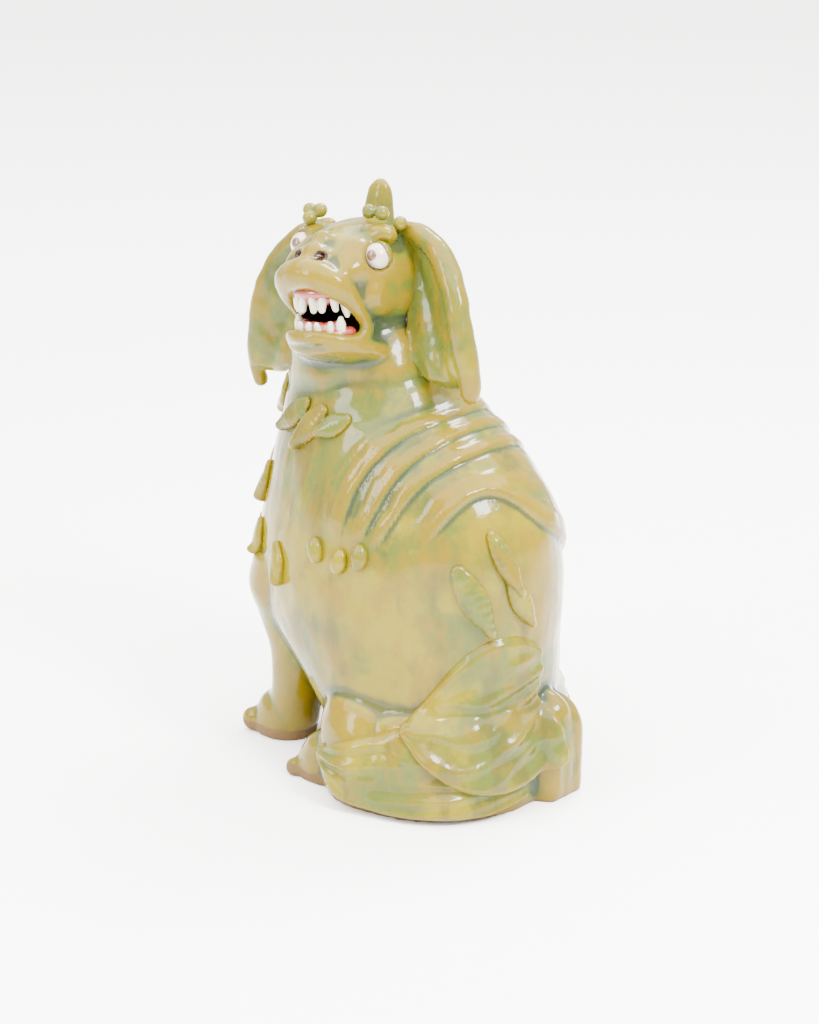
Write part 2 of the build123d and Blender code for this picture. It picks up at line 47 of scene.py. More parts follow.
# ---- Camera, floor and light ----
# The statue stands on a flat, plain pale floor and is seen from behind its left shoulder.
VIEW_TURN, VIEW_RISE, VIEW_DISTANCE, VIEW_LENS = radians(132), radians(18.5), 1.56, 85
look_at = Vector((0.020, 0.019, 0.178))
away = Vector((sin(VIEW_TURN) * cos(VIEW_RISE), -cos(VIEW_TURN) * cos(VIEW_RISE), sin(VIEW_RISE)))
camera_data = bpy.data.cameras.new("camera")
camera_data.lens = VIEW_LENS
camera_data.sensor_width = 36
camera_data.clip_end = 20
camera = bpy.data.objects.new("camera", camera_data)
bpy.context.collection.objects.link(camera)
camera.location = look_at + away * VIEW_DISTANCE
camera.rotation_euler = away.to_track_quat("Z", "Y").to_euler()
bpy.context.scene.camera = camera

floor_mesh = bpy.data.meshes.new("floor")
floor_form = bmesh.new()
bmesh.ops.create_grid(floor_form, x_segments=1, y_segments=1, size=6)
floor_form.to_mesh(floor_mesh)
floor_form.free()
floor = bpy.data.objects.new("floor", floor_mesh)
bpy.context.collection.objects.link(floor)
paper = bpy.data.materials.new("paper")
paper.use_nodes = True
paper_shader = paper.node_tree.nodes["Principled BSDF"]
paper_shader.inputs["Base Color"].default_value = (0.97, 0.955, 0.94, 1)
paper_shader.inputs["Roughness"].default_value = 0.8
floor_mesh.materials.append(paper)

world = bpy.data.worlds.new("studio")
bpy.context.scene.world = world
world.use_nodes = True
world.node_tree.nodes["Background"].inputs["Color"].default_value = (1.0, 0.985, 0.965, 1)
world.node_tree.nodes["Background"].inputs["Strength"].default_value = 2.5


def soft_box(name, turn, rise, distance, size, power):
    """A rectangular soft light that faces the statue."""
    lamp = bpy.data.lights.new(name, "AREA")
    lamp.shape = "RECTANGLE"
    lamp.size, lamp.size_y = size
    lamp.energy = power
    holder = bpy.data.objects.new(name, lamp)
    bpy.context.collection.objects.link(holder)
    side = Vector((sin(turn) * cos(rise), -cos(turn) * cos(rise), sin(rise)))
    holder.location = look_at + side * distance
    holder.rotation_euler = side.to_track_quat("Z", "Y").to_euler()


soft_box("overhead", VIEW_TURN, radians(90), distance=4.2, size=(8, 8), power=1750)
soft_box("key", VIEW_TURN + radians(42), radians(44), distance=1.6, size=(0.34, 0.55), power=75)
soft_box("fill", VIEW_TURN - radians(62), radians(30), distance=1.7, size=(0.4, 0.8), power=30)
soft_box("top", VIEW_TURN + radians(150), radians(58), distance=1.6, size=(0.5, 0.35), power=40)


# ---- Finishes: runny glossy glaze, bare clay, and painted teeth, gums and eyes ----
# One glaze covers the whole statue. It runs thin and ochre on ridges, lies straw and celadon on
# open faces, and pools grey-green in hollows, which each mesh marks in its "pool" attribute.
class Shade:
    """A shader socket that takes part in sums as a number does."""

    def __init__(self, tree, out=None):
        self.tree, self.out = tree, out

    def node(self, kind, output, links, **settings):
        """Any other node: its type, the output wanted, what enters each input, and its settings."""
        made = self.tree.nodes.new(kind)
        for key, value in settings.items():
            setattr(made, key, value)
        for key, value in links.items():
            if isinstance(value, Shade):
                self.tree.links.new(value.out, made.inputs[key])
            else:
                made.inputs[key].default_value = value
        return Shade(self.tree, made.outputs[output])

    def sum(self, operation, first, second=0.0):
        return self.node("ShaderNodeMath", 0, {0: first, 1: second}, operation=operation)

    def __add__(self, other):
        return self.sum("ADD", self, other)

    def __sub__(self, other):
        return self.sum("SUBTRACT", self, other)

    def __rsub__(self, other):
        return self.sum("SUBTRACT", other, self)

    def __mul__(self, other):
        return self.sum("MULTIPLY", self, other)

    __radd__, __rmul__ = __add__, __mul__

    def step(self, low, high):
        """0 below one value and 1 above another, with a soft change between them."""
        return self.node("ShaderNodeMapRange", "Result",
                         {"Value": self, "From Min": low, "From Max": high},
                         interpolation_type="SMOOTHSTEP")

    def noise(self, scale, detail=3.0, rough=0.55):
        """Cloudy noise over the object's own coordinates, in cells per metre."""
        return self.node("ShaderNodeTexNoise", "Fac",
                         {"Vector": self, "Scale": scale, "Detail": detail, "Roughness": rough})

    def over(self, under, colour):
        """A colour laid over another where this value is 1, by a Mix node's own colour sockets."""
        return self.node("ShaderNodeMix", 2, {0: self, 6: under, 7: colour}, data_type="RGBA")


STRAW = (0.155, 0.124, 0.000, 1)
CELADON = (0.066, 0.080, 0.010, 1)
OCHRE = (0.142, 0.090, 0.000, 1)
POOLED = (0.017, 0.029, 0.016, 1)
THICK = (0.035, 0.044, 0.011, 1)
BARE_CLAY = (0.110, 0.066, 0.026, 1)
# near-black brown of the painted shade inside the mouth and nostrils
MOUTH_SHADE_BROWN = (0.022, 0.0075, 0.003, 1)
GLAZE_COAT, PAINT_COAT = 0.24, 0.6


def glazed(name, bare_height, green=0.0):
    """The glaze on one group of pieces: how high its bare foot reaches, and how much greener it is."""
    finish = bpy.data.materials.new(name)
    finish.use_nodes = True
    tree = finish.node_tree
    shader = tree.nodes["Principled BSDF"]
    spot = Shade(tree).node("ShaderNodeTexCoord", "Object", {})
    height = Shade(tree).node("ShaderNodeSeparateXYZ", "Z", {"Vector": spot})
    pool = Shade(tree).node("ShaderNodeAttribute", "Fac", {}, attribute_name="pool")
    inner = Shade(tree).node("ShaderNodeAttribute", "Fac", {}, attribute_name="inner")
    runs = Shade(tree).node("ShaderNodeVectorMath", 0, {0: spot, 1: (1.0, 1.0, 0.35)}, operation="MULTIPLY")
    broad = spot.noise(11.0, 2.0)
    mottle = spot.noise(38.0, 4.0, 0.62)
    streak = runs.noise(55.0, 3.0)
    fine = spot.noise(420.0, 2.0, 0.7)
    hollow = pool.step(0.52, 0.86)
    ridge = pool.step(0.47, 0.24)
    # Straw and celadon lie in broad clouds, with more celadon from the neck up.
    # The extra celadon from the neck up is partly the glaze's own and partly painted shade under the head
    # and ears.
    cool = broad + 0.55 * mottle + 0.07 * height.step(0.19, 0.25) + (green - 0.275)
    colour = cool.step(0.42, 0.58).over(STRAW, CELADON)
    # Ochre and thicker glaze lie over them in runs, and then the ridges and hollows.
    colour = ((mottle + 0.6 * streak).step(0.76, 0.92) * 0.75).over(colour, OCHRE)
    colour = ((streak + 0.5 * broad).step(0.76, 0.94) * 0.6).over(colour, THICK)
    colour = (ridge * (0.45 + 0.6 * mottle)).over(colour, OCHRE)
    colour = (hollow * (0.45 + 0.7 * broad)).over(colour, POOLED)
    colour = (fine.step(0.45, 0.75) * 0.16).over(colour, THICK)
    # The foot is wiped clean of glaze, up to a wavering line.
    bare = (height * (1 / MM) + 9.0 * mottle - (bare_height + 4.5)).step(1.2, -0.8)
    colour = bare.over(colour, BARE_CLAY)
    # Inside the mouth and nostrils lies painted shade, a near-black brown.
    colour = inner.step(0.3, 0.7).over(colour, MOUTH_SHADE_BROWN)
    tree.links.new(colour.out, shader.inputs["Base Color"])
    rough = 0.13 + 0.10 * mottle + 0.42 * bare
    tree.links.new(rough.out, shader.inputs["Roughness"])
    tree.links.new((GLAZE_COAT - GLAZE_COAT * bare).out, shader.inputs["Coat Weight"])
    shader.inputs["Coat Roughness"].default_value = 0.03
    shader.inputs["Specular IOR Level"].default_value = 0.10
    relief = mottle * 0.6 + spot.noise(95.0, 2.0) * 0.35 + fine * 0.02
    bump = relief.node("ShaderNodeBump", "Normal",
                       {"Strength": 0.5, "Distance": 0.0022, "Height": relief})
    tree.links.new(bump.out, shader.inputs["Normal"])
    return finish


def painted(name, colour, dark, rough, scale=260.0):
    """The paint on a small piece, clouded with a darker colour."""
    finish = bpy.data.materials.new(name)
    finish.use_nodes = True
    tree = finish.node_tree
    shader = tree.nodes["Principled BSDF"]
    spot = Shade(tree).node("ShaderNodeTexCoord", "Object", {})
    cloud = spot.noise(scale, 3.0)
    mixed = (cloud.step(0.42, 0.72) * 0.55).over(colour, dark)
    tree.links.new(mixed.out, shader.inputs["Base Color"])
    tree.links.new((rough + 0.15 * cloud).out, shader.inputs["Roughness"])
    shader.inputs["Coat Weight"].default_value = PAINT_COAT
    shader.inputs["Coat Roughness"].default_value = 0.05
    bump = cloud.node("ShaderNodeBump", "Normal",
                      {"Strength": 0.35, "Distance": 0.0006, "Height": cloud})
    tree.links.new(bump.out, shader.inputs["Normal"])
    return finish


GLAZES = {
    "glaze_body": glazed("body glaze", 2.0),
    "glaze_mane": glazed("mane glaze", -20.0, 0.05),
    "glaze_pats": glazed("pat glaze", -20.0, 0.03),
    "glaze_flaps": glazed("flap glaze", 3.0, -0.02),
    "glaze_paws": glazed("paw glaze", 9.0, 0.02),
    "glaze_face": glazed("face glaze", -20.0),
    "glaze_ears": glazed("ear glaze", -20.0, 0.02),
    "gum_red": painted("gum red", (0.26, 0.030, 0.018, 1), (0.10, 0.008, 0.005, 1), rough=0.18),
    "tooth_white": painted("tooth white", (0.55, 0.50, 0.39, 1), (0.36, 0.29, 0.18, 1),
                           rough=0.16, scale=120.0),
    "eye_white": painted("eye white", (0.50, 0.44, 0.35, 1), (0.34, 0.27, 0.18, 1),
                         rough=0.12, scale=90.0),
    "iris_brown": painted("iris brown", (0.10, 0.045, 0.020, 1), (0.035, 0.015, 0.008, 1),
                          rough=0.15, scale=600.0),
}


# ---- The clay body: torso, neck, skull, jaw, limbs and tail worked into one skin ----
# The maker coils and pinches these parts separately and smooths the joins over with a wet thumb,
# so they are modelled together and then parted along the pieces that the CAD model names.
BODY_OVALS = [                  # height, front Y, back Y, half width
    (0, -27, 103, 70), (30, -45, 107, 75), (62, -69, 109, 79), (92, -97, 111, 82),
    (125, -109, 113, 83), (155, -111, 112.5, 80), (182, -107, 107, 74), (207, -102, 91, 67),
    (232, -96, 64, 58), (255, -91, 33, 50), (278, -87, 21, 47), (292, -80, 13, 43), (303, -66, -1, 33),
]
SKULL_OVALS = [                 # forward, underside, top, half width
    (-50, -14, 8, 12), (-44, -30, 22, 27), (-34, -41, 31, 36), (-15, -46, 36, 41),
    (8, -46, 34, 42), (26, -38, 27, 38), (40, -30, 15, 32), (50, -27, 3, 26),
]
JAW_OVALS = [                   # forward, underside, top, half width
    (0, -66, -30, 36), (20, -62, -31, 36), (36, -56, -32, 33), (48, -49, -33, 28), (60, -43, -34, 19),
]
FORELEG_OVALS = [               # height, X, Y, radius X, radius Y
    (10, 33, -76, 17, 18), (26, 33, -73, 18, 18), (44, 33, -70, 19, 19), (62, 33, -70, 20, 20),
    (85, 34, -72, 23, 24), (112, 37, -71, 29, 31), (136, 38, -68, 27, 28),
]
FOREPAW_OVALS = [               # columns as for the foreleg, here and below
    (0, 33, -84, 20.5, 22.5), (9, 33, -84, 21.5, 23), (18, 33, -82, 20, 21), (29, 33, -79, 15, 17),
    (34, 33, -76, 9, 10),
]
HAUNCH_OVALS = {                # by side: 1 is the left, -1 the slimmer right
    1: [(0, 20, 40, 74, 78), (25, 20, 40, 73, 77), (50, 17, 41, 70, 73),
        (64, 12, 42, 64, 67), (70, 8, 42, 55, 60)],
    -1: [(0, 20, 40, 65, 69), (25, 20, 40, 64, 68), (50, 17, 41, 61, 64),
         (64, 12, 42, 56, 60), (70, 8, 42, 48, 54)],
}
KNEE_OVALS = [
    (0, 62, 34, 34, 40), (16, 63.5, 33, 34.5, 41), (34, 64, 30, 33, 39), (54, 64, 25, 29, 33),
    (67, 63, 22, 20, 23), (73, 62, 20, 8, 9),
]
HIND_PAW_OVALS = [
    (0, 72, -10, 14, 20), (10, 72, -10, 15, 21), (22, 72, -7, 14.5, 19), (32, 72, -3, 11, 14),
    (37, 72, 0, 5, 7),
]
MOUTH_HOLLOW, MOUTH_RADII = (33, 0, -22.5), (31, 23, 12.5)    # in the mouth's frame
# The head looks over the left shoulder, tipped back by the pitch and sideways by the roll.
HEAD_CENTRE = Vector((4.0, -33.0, 326.0))
HEAD_PITCH, HEAD_ROLL = radians(25), radians(7)
forward_axis = Vector((cos(HEAD_PITCH), 0, sin(HEAD_PITCH)))
level_up = Vector((-sin(HEAD_PITCH), 0, cos(HEAD_PITCH)))
left_axis = Vector((0, 1, 0)) * cos(HEAD_ROLL) + level_up * sin(HEAD_ROLL)
skull_up = forward_axis.cross(left_axis)


def place(origin, x_axis, y_axis, z_axis):
    """The matrix of a frame from its origin and its three axes."""
    turned = Matrix((x_axis, y_axis, z_axis)).transposed().to_4x4()
    return Matrix.Translation(origin) @ turned


def tilted(origin, tilt):
    """A frame in the head: X at an angle above the skull's forward axis, Y left, Z up."""
    x_axis = forward_axis * cos(tilt) + skull_up * sin(tilt)
    z_axis = skull_up * cos(tilt) - forward_axis * sin(tilt)
    return place(origin, x_axis, left_axis, z_axis)


SKULL = tilted(HEAD_CENTRE, 0)          # local X forward, Y left, Z up
MOUTH = tilted(HEAD_CENTRE, -HEAD_PITCH)    # the same, but level
UPRIGHT = Matrix.Identity(4)


def eased(rows, count):
    """Rows of sizes drawn out into more rows, evenly by the first column, along a smooth curve."""
    rows = np.array(rows, float)
    key = rows[:, 0]
    slope = np.gradient(rows, key, axis=0)
    at = np.linspace(key[0], key[-1], count)
    low = np.clip(np.searchsorted(key, at) - 1, 0, len(key) - 2)
    gap = (key[low + 1] - key[low])[:, None]
    part = (at - key[low])[:, None] / gap
    leaving = slope[low] * gap * (part**3 - 2 * part**2 + part)
    arriving = slope[low + 1] * gap * (part**3 - part**2)
    start = rows[low] * (2 * part**3 - 3 * part**2 + 1) + leaving
    end = rows[low + 1] * (3 * part**2 - 2 * part**3) + arriving
    return start + end


def add_rings(form, frames, segments=48):
    """A closed skin through a run of circles, each given by its own matrix."""
    loops = []
    for ring in frames:
        made = bmesh.ops.create_circle(form, segments=segments, radius=1, matrix=ring)
        loops.append(made["verts"])
    for lower, upper in zip(loops, loops[1:]):
        edges = {e for v in lower + upper for e in v.link_edges if e.is_boundary or e.is_wire}
        bmesh.ops.bridge_loops(form, edges=list(edges))
    for end in (loops[0], loops[-1]):
        form.faces.new(end)


def add_stack(form, rows, side=1, count=24):
    """Level ovals stacked upwards: height, centre X, centre Y, radius X, radius Y."""
    frames = []
    for height, x, y, radius_x, radius_y in eased(rows, count):
        size = Matrix.Diagonal((max(radius_x, 1), max(radius_y, 1), 1, 1))
        frames.append(Matrix.Translation((side * x, y, height)) @ size)
    add_rings(form, frames)


def add_cross_stack(form, base, rows, count=24):
    """Ovals stood across a frame's forward axis: forward, underside, top, half width."""
    frames = []
    for forward, underside, top, half_width in eased(rows, count):
        centre = (forward, 0, (underside + top) / 2)
        across = Matrix(((0, 0, 1), (1, 0, 0), (0, 1, 0))).to_4x4()
        size = Matrix.Diagonal((half_width, (top - underside) / 2, 1, 1))
        frames.append(base @ Matrix.Translation(centre) @ across @ size)
    add_rings(form, frames)


def add_lump(form, base, centre, radii, turn=(0, 0, 0), segments=32):
    """A lump of clay: an ellipsoid in a frame, turned by degrees about the frame's X, Y and Z."""
    spin = Matrix.Identity(4)
    for axis, angle in zip("XYZ", turn):
        spin = Matrix.Rotation(radians(angle), 4, axis) @ spin
    where = base @ Matrix.Translation(centre) @ spin @ Matrix.Diagonal((*radii, 1))
    bmesh.ops.create_uvsphere(form, u_segments=segments, v_segments=segments // 2, radius=1,
                              matrix=where)


def add_rope(form, points, radii, segments=20, steps=40):
    """A rolled rope of clay along a smooth route, with rounded ends."""
    run = np.linspace(0, len(points) - 1, len(points))
    rows = eased([(r, *p, w) for r, p, w in zip(run, points, radii)], steps)
    route = [Vector(row[1:4]) for row in rows]
    frames = []
    for i, (spot, row) in enumerate(zip(route, rows)):
        ahead = route[min(i + 1, steps - 1)] - route[max(i - 1, 0)]
        turn = ahead.to_track_quat("Z", "Y").to_matrix().to_4x4()
        frames.append(Matrix.Translation(spot) @ turn @ Matrix.Diagonal((row[4], row[4], 1, 1)))
    add_rings(form, frames, segments)
    for spot, width in ((route[0], rows[0][4]), (route[-1], rows[-1][4])):
        bmesh.ops.create_uvsphere(form, u_segments=segments, v_segments=segments // 2, radius=width,
                                  matrix=Matrix.Translation(spot))


def in_head(base, points):
    """Points given in a frame of the head, as points of the whole statue."""
    return [base @ Vector(p) for p in points]


clay = bmesh.new()
body_rows = [(height, 0, (front + back) / 2, half_width, (back - front) / 2)
             for height, front, back, half_width in BODY_OVALS]
add_stack(clay, body_rows, count=60)
add_cross_stack(clay, SKULL, SKULL_OVALS)
add_cross_stack(clay, MOUTH, JAW_OVALS)
for side in (1, -1):
    add_stack(clay, FORELEG_OVALS, side)
    add_stack(clay, FOREPAW_OVALS, side)
    add_stack(clay, HAUNCH_OVALS[side], side)
    add_stack(clay, KNEE_OVALS, side)
    add_stack(clay, HIND_PAW_OVALS, side)
    # Toes, pinched up at the front of each paw.
    for toe, x in enumerate((18, 33, 48)):
        add_lump(clay, UPRIGHT, (side * x, -103 + 2 * abs(toe - 1), 8), (7.5, 8, 8.5))
    for x in (64, 74, 83):
        add_lump(clay, UPRIGHT, (side * x, -29 + 0.12 * abs(x - 70), 6), (5, 7, 7))
    # Brows, cheeks and the swell of the face round each eye.
    add_lump(clay, SKULL, (23, side * 26, 18), (11, 15, 8), (0, 0, side * -12))
    add_lump(clay, SKULL, (16, side * 29, -18), (18, 11, 15))
    add_lump(clay, SKULL, (-6, side * 24, 12), (26, 17, 22))
# The bridge of the nose, its ball and its two wings.
add_lump(clay, SKULL, (40, 0, 6), (14, 8, 8), (0, -20, 0))
add_lump(clay, SKULL, (50, 0, -2), (9, 8, 7.5))
for side in (1, -1):
    add_lump(clay, SKULL, (49, side * 9.5, -3.5), (7.5, 6, 5.5))
# The lips: fat rolls that run from corner to corner of the mouth.
upper_lip_frame = tilted(SKULL @ Vector((17, 0, -40)), radians(25))
upper_route = in_head(upper_lip_frame, [
    (-2, 25, 0), (10, 26, 1), (22, 25, 2), (34, 21, 3), (43, 12, 4), (46, 0, 4),
    (43, -12, 4), (34, -21, 3), (22, -25, 2), (10, -26, 1), (-2, -25, 0),
])
add_rope(clay, upper_route, [4, 5, 6.5, 8.5, 9.5, 10, 9.5, 8.5, 6.5, 5, 4], steps=60)
lower_lip_frame = MOUTH @ Matrix.Translation((32, 0, -32))
lower_route = in_head(lower_lip_frame, [
    (-5, 24, 2), (4, 25, -2), (14, 24, -4), (24, 18, -1), (31, 8, 1), (32, 0, 1),
    (31, -8, 1), (24, -18, -1), (14, -24, -4), (4, -25, -2), (-5, -24, 2),
])
add_rope(clay, lower_route, [4, 4.5, 5, 5, 5, 5, 5, 5, 5, 4.5, 4], steps=60)
# The tail: a flat slab of three ridges stood against the rump, highest in the middle.
TAIL_MIDDLE = -12
for x in (TAIL_MIDDLE - 10, TAIL_MIDDLE, TAIL_MIDDLE + 10):
    drop = abs(x - TAIL_MIDDLE) * 0.5
    add_stack(clay, [(0, x, 113, 11, 16.5), (30, x, 114, 11, 15.5), (52, x, 113, 10, 14.5),
                     (64 - drop, x, 111, 8, 12), (70 - drop, x, 109, 3, 6)])

# What is taken out of the clay: the open mouth, the nostrils and a socket for each eye.
BODY_VOXEL = 1.8
scooped = bmesh.new()
add_lump(scooped, MOUTH, MOUTH_HOLLOW, MOUTH_RADII, segments=40)
for side, socket_up in ((1, 3.0), (-1, 9.0)):
    add_lump(scooped, SKULL, (57, side * 9.5, -6), (9, 3, 2.4), (0, 20, 0))
    add_lump(scooped, SKULL, (32, side * 36, socket_up), (11, 9, 10.5))


def as_mesh(form, name):
    """A bmesh made into a mesh, with its normals turned outwards."""
    bmesh.ops.recalc_face_normals(form, faces=form.faces)
    mesh = bpy.data.meshes.new(name)
    form.to_mesh(mesh)
    form.free()
    return mesh


def as_object(form, name):
    """A bmesh made into an object."""
    made = bpy.data.objects.new(name, as_mesh(form, name))
    bpy.context.collection.objects.link(made)
    return made


def skinned(form, voxel, soften, cut=None):
    """One skin round every overlapping lump, softened as wet clay is, as a new mesh."""
    lumps = as_object(form, "lumps")
    skin = lumps.modifiers.new("skin", "REMESH")
    skin.mode, skin.voxel_size = "VOXEL", voxel
    if cut:
        hollow = as_object(cut, "hollow")
        take = lumps.modifiers.new("take", "BOOLEAN")
        take.operation, take.object, take.solver = "DIFFERENCE", hollow, "FAST"
        again = lumps.modifiers.new("again", "REMESH")
        again.mode, again.voxel_size = "VOXEL", voxel
    ease = lumps.modifiers.new("ease", "SMOOTH")
    ease.factor, ease.iterations = 0.5, soften
    depsgraph = bpy.context.evaluated_depsgraph_get()
    drawn = bpy.data.meshes.new_from_object(lumps.evaluated_get(depsgraph))
    bpy.data.objects.remove(lumps)
    if cut:
        bpy.data.objects.remove(hollow)
    return drawn


def read(mesh):
    """A mesh's points, normals and edges as arrays."""
    spots = np.empty(len(mesh.vertices) * 3, np.float32)
    normals = np.empty(len(mesh.vertices) * 3, np.float32)
    edges = np.empty(len(mesh.edges) * 2, np.int32)
    mesh.vertices.foreach_get("co", spots)
    mesh.vertex_normals.foreach_get("vector", normals)
    mesh.edges.foreach_get("vertices", edges)
    spots = spots.reshape(-1, 3).astype(float)
    normals = normals.reshape(-1, 3).astype(float)
    return spots, normals, edges.reshape(-1, 2)


def write(mesh, spots):
    """Points put back into a mesh."""
    mesh.vertices.foreach_set("co", spots.astype(np.float32).ravel())
    mesh.update()


def relaxed(spots, edges, rounds):
    """Points moved towards their neighbours, as many times as asked."""
    count = np.maximum(np.bincount(edges.ravel(), minlength=len(spots)), 1)[:, None]
    for _ in range(rounds):
        total = np.zeros_like(spots)
        for one, other in ((0, 1), (1, 0)):
            for axis in range(3):
                total[:, axis] += np.bincount(edges[:, one], spots[edges[:, other], axis], len(spots))
        spots = 0.5 * spots + 0.5 * total / count
    return spots


def pooled(spots, normals, edges, broad=0.30):
    """0.5 where the glaze lies even, up to 1 in a hollow that gathers it, down to 0 on a ridge."""
    close = ((relaxed(spots, edges, 8) - spots) * normals).sum(1)
    wide = ((relaxed(spots, edges, 60) - spots) * normals).sum(1)
    return np.clip(0.5 + 0.5 * close + broad * wide, 0, 1)


def smooth(value, low, high):
    """0 below one value and 1 above another, with a soft change between them."""
    part = np.clip((value - low) / (high - low), 0, 1)
    return part * part * (3 - 2 * part)


def waver(spots, size, seed=0.0):
    """Soft noise at each point, about -1 to 1, in swells of one size."""
    shift = Vector((seed, seed * 1.7, seed * 0.6))
    return np.array([noise.noise(Vector(p) / size + shift) for p in spots])


def store(mesh, name, values):
    """One number at each point of a mesh, for its material to read."""
    column = mesh.attributes.new(name, "FLOAT", "POINT")
    column.data.foreach_set("value", np.asarray(values, np.float32))


def finished(mesh, name, slot, nodes):
    """A mesh in millimetres made into a finished piece that stands for its CAD nodes."""
    mesh.transform(Matrix.Scale(MM, 4))
    mesh.materials.clear()
    mesh.materials.append(GLAZES[slot])
    piece = bpy.data.objects.new(name, mesh)
    bpy.context.collection.objects.link(piece)
    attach(piece, "root")
    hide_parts(*nodes)


def walled(form, faces, outward, thickness):
    """A copy of a sheet moved behind it, against the outward direction at each point, and joined."""
    grown = bmesh.ops.extrude_face_region(form, geom=faces, use_keep_orig=True)["geom"]
    for part in grown:
        if isinstance(part, bmesh.types.BMVert):
            part.co -= outward[tuple(part.co)] * thickness


def backed(form, faces, thickness):
    """A sheet given a second face behind it and a closed edge all round."""
    form.normal_update()
    outward = {tuple(v.co): v.normal.copy() for face in faces for v in face.verts}
    walled(form, faces, outward, thickness)


def sheet_faces(form, grid):
    """The faces of a sheet, from its rows of points."""
    return [form.faces.new((a, b, c, d)) for one, two in zip(grid, grid[1:])
            for a, b, c, d in zip(one, one[1:], two[1:], two)]


def fired(form, name, slot, nodes, voxel=1.0, soften=4, uneven=0.25):
    """A separately formed piece: its lumps merged, softened, made slightly uneven and glazed."""
    mesh = skinned(form, voxel, soften)
    spots, normals, _ = read(mesh)
    spots += normals * (uneven * waver(spots, 9.0, len(name)))[:, None]
    write(mesh, spots)
    mesh.shade_smooth()
    store(mesh, "pool", pooled(*read(mesh), 0.03))
    finished(mesh, name, slot, nodes)


body_mesh = skinned(clay, BODY_VOXEL, 5, scooped)
spots, normals, edges = read(body_mesh)

# The whole surface wavers as hand-worked clay does, but for the flat foot.
unevenness = 1.5 * waver(spots, 46.0) + 0.6 * waver(spots, 17.0, 3.0)
spots += normals * unevenness[:, None] * smooth(spots[:, 2], 1.0, 8.0)[:, None]

# The mane: four flattened rolls drawn from the spine down each side to the pellets. Each rises
# towards its lower edge and ends in a step, and a comb has scored it lengthways.
# Each upper edge: degrees above level at the spine, and how many more at the side.
MANE_EDGES = [(83.0, 16.0), (79.5, 11.0), (75.5, 7.2), (70.5, 7.2)]
MANE_HEIGHTS = (2.4, 2.6, 3.0, 3.8)
x, y, z = spots.T
turn = np.degrees(np.arctan2(z - 60, y - 14))
aside = (np.abs(x) / 74) ** 2
edge_turns = [spine + more * aside for spine, more in MANE_EDGES]
edge_turns.append(57 + 7.5 * np.tanh((x - 6) / 18))
strength = np.maximum(smooth(z, 166, 186), smooth(y, 55, 75))
comb = waver(np.column_stack([x * 0.25, turn * 2.2, 0 * z]), 2.6, 5.0)
lift = np.zeros(len(spots))
for band, height in enumerate(MANE_HEIGHTS):
    wide = edge_turns[band] - edge_turns[band + 1]
    across = (edge_turns[band] - turn) / wide
    roll = np.clip(across / 0.8, 0, 1) ** 0.9 * smooth(across, 1.0, 1.0 - 1.6 / wide)
    fade = strength if band < 3 else strength * smooth(aside, 0.75, 0.35)
    scored = 0.42 * comb + 0.30 * np.sin(across * 17 + 2 * comb)
    lift = np.where((across > 0) & (across <= 1), fade * (height * roll + scored), lift)
spots += normals * lift[:, None]

# The hip swells under the mane's lowest edge, the face is lumpy clear of the mouth, and faint
# folds run round the neck.
hip = np.exp(-(((x - 48) / 26) ** 2 + ((y - 74) / 26) ** 2 + ((z - 168) / 30) ** 2))
spots += normals * (2.6 * hip)[:, None]
mouth_front = np.array(MOUTH @ Vector((45, 0, -20)))
head_part = smooth(z, 262, 288) * smooth(np.linalg.norm(spots - mouth_front, axis=1), 22, 40)
spots += normals * (1.3 * head_part * waver(spots, 14.0, 8.0))[:, None]
neck_part = smooth(z, 236, 250) * smooth(z, 290, 272)
folds = np.sin(z * 0.3 + 0.05 * x - 0.06 * y + 2.5 * waver(spots, 30.0, 2.0))
spots += normals * (0.5 * neck_part * folds)[:, None]
write(body_mesh, spots)
spots = relaxed(read(body_mesh)[0], edges, 1)
write(body_mesh, spots)


# ---- Ears: slabs that hang beside the cheeks, each with a thick rolled outer edge ----
# Each ear is a thin concave lobe pressed on behind the cheek, and a fat roll that runs from the
# crown round the outside and hangs lower than the lobe.
# Each row is forward, outward, up in the skull's frame, from the crown down: first along the roll,
# with its radius, and then along the root.
EARS = {
    "left": (1,
             [(8, 32, 26, 6), (7, 46, 23, 7), (6, 60, 14, 7.5), (4, 71, 0, 8), (1, 79, -18, 8),
              (-6, 84, -40, 8), (-15, 87, -58, 7.5), (-22, 86, -71, 6.5)],
             [(4, 34, 26), (-2, 36, 10), (-6, 36, -8), (-10, 36, -26), (-13, 36, -42), (-15, 40, -54)]),
    "right": (-1,
              [(4, 36, 28, 6), (2, 56, 24, 7), (-1, 74, 13, 7), (-4, 87, -2, 6.5), (-10, 96, -20, 6.5),
               (-17, 101, -38, 6), (-25, 105, -55, 5.5), (-33, 103, -70, 5)],
              [(-2, 34, 26), (-6, 36, 10), (-10, 38, -8), (-14, 40, -24), (-18, 46, -38), (-22, 54, -48)]),
}
LOBE_THICKNESS, RIM_RADIUS = 6.5, 3.8
LOBE_ROWS, LOBE_COLUMNS = 28, 22
